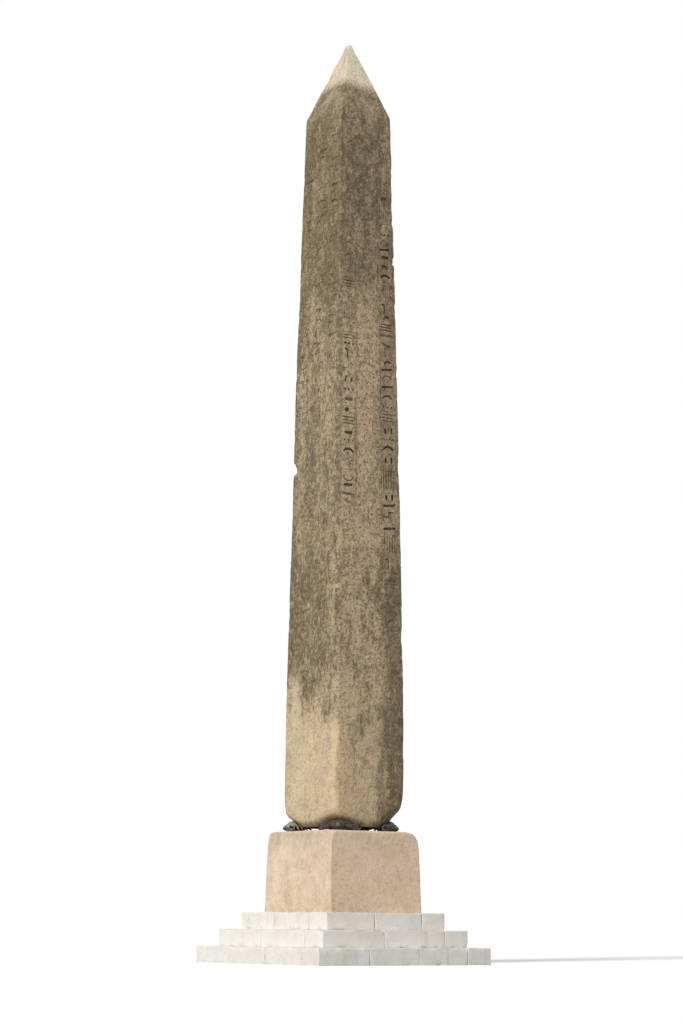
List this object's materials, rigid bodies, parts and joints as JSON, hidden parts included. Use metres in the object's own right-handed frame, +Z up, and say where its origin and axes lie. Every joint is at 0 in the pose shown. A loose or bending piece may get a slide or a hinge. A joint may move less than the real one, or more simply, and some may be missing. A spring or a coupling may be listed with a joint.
{
  "type": "granite obelisk",
  "caption": "Tapered granite obelisk with a pointed top, held at its corners by bronze crabs on a granite pedestal with stone steps.",
  "frame": {"origin": "middle of the underside of the lowest step, at ground level", "axes": "+Z up along the stone; the faces look along +X, -X, +Y and -Y; the pictured corner is -X -Y"},
  "size_m": [5.46, 5.46, 24.805],
  "materials": {
    "shaft_granite": "weathered",
    "pedestal_granite": "rough",
    "bronze": "patinated",
    "step_limestone": "dressed",
    "core_masonry": "rough"
  },
  "bodies": {
    "root": {"crab_back": "bronze", "crab_front": "bronze", "crab_left": "bronze", "crab_right": "bronze", "lower_core": "core_masonry", "lower_step_block_01": "step_limestone", "lower_step_block_02": "step_limestone", "lower_step_block_03": "step_limestone", "lower_step_block_04": "step_limestone", "lower_step_block_05": "step_limestone", "lower_step_block_06": "step_limestone", "lower_step_block_07": "step_limestone", "lower_step_block_08": "step_limestone", "lower_step_block_09": "step_limestone", "lower_step_block_10": "step_limestone", "lower_step_block_11": "step_limestone", "lower_step_block_12": "step_limestone", "middle_core": "core_masonry", "middle_step_block_01": "step_limestone", "middle_step_block_02": "step_limestone", "middle_step_block_03": "step_limestone", "middle_step_block_04": "step_limestone", "middle_step_block_05": "step_limestone", "middle_step_block_06": "step_limestone", "middle_step_block_07": "step_limestone", "middle_step_block_08": "step_limestone", "monolith": "shaft_granite", "pedestal": "pedestal_granite", "upper_core": "core_masonry", "upper_step_block_01": "step_limestone", "upper_step_block_02": "step_limestone", "upper_step_block_03": "step_limestone", "upper_step_block_04": "step_limestone", "upper_step_block_05": "step_limestone", "upper_step_block_06": "step_limestone", "upper_step_block_07": "step_limestone", "upper_step_block_08": "step_limestone"}
  },
  "joints": []
}
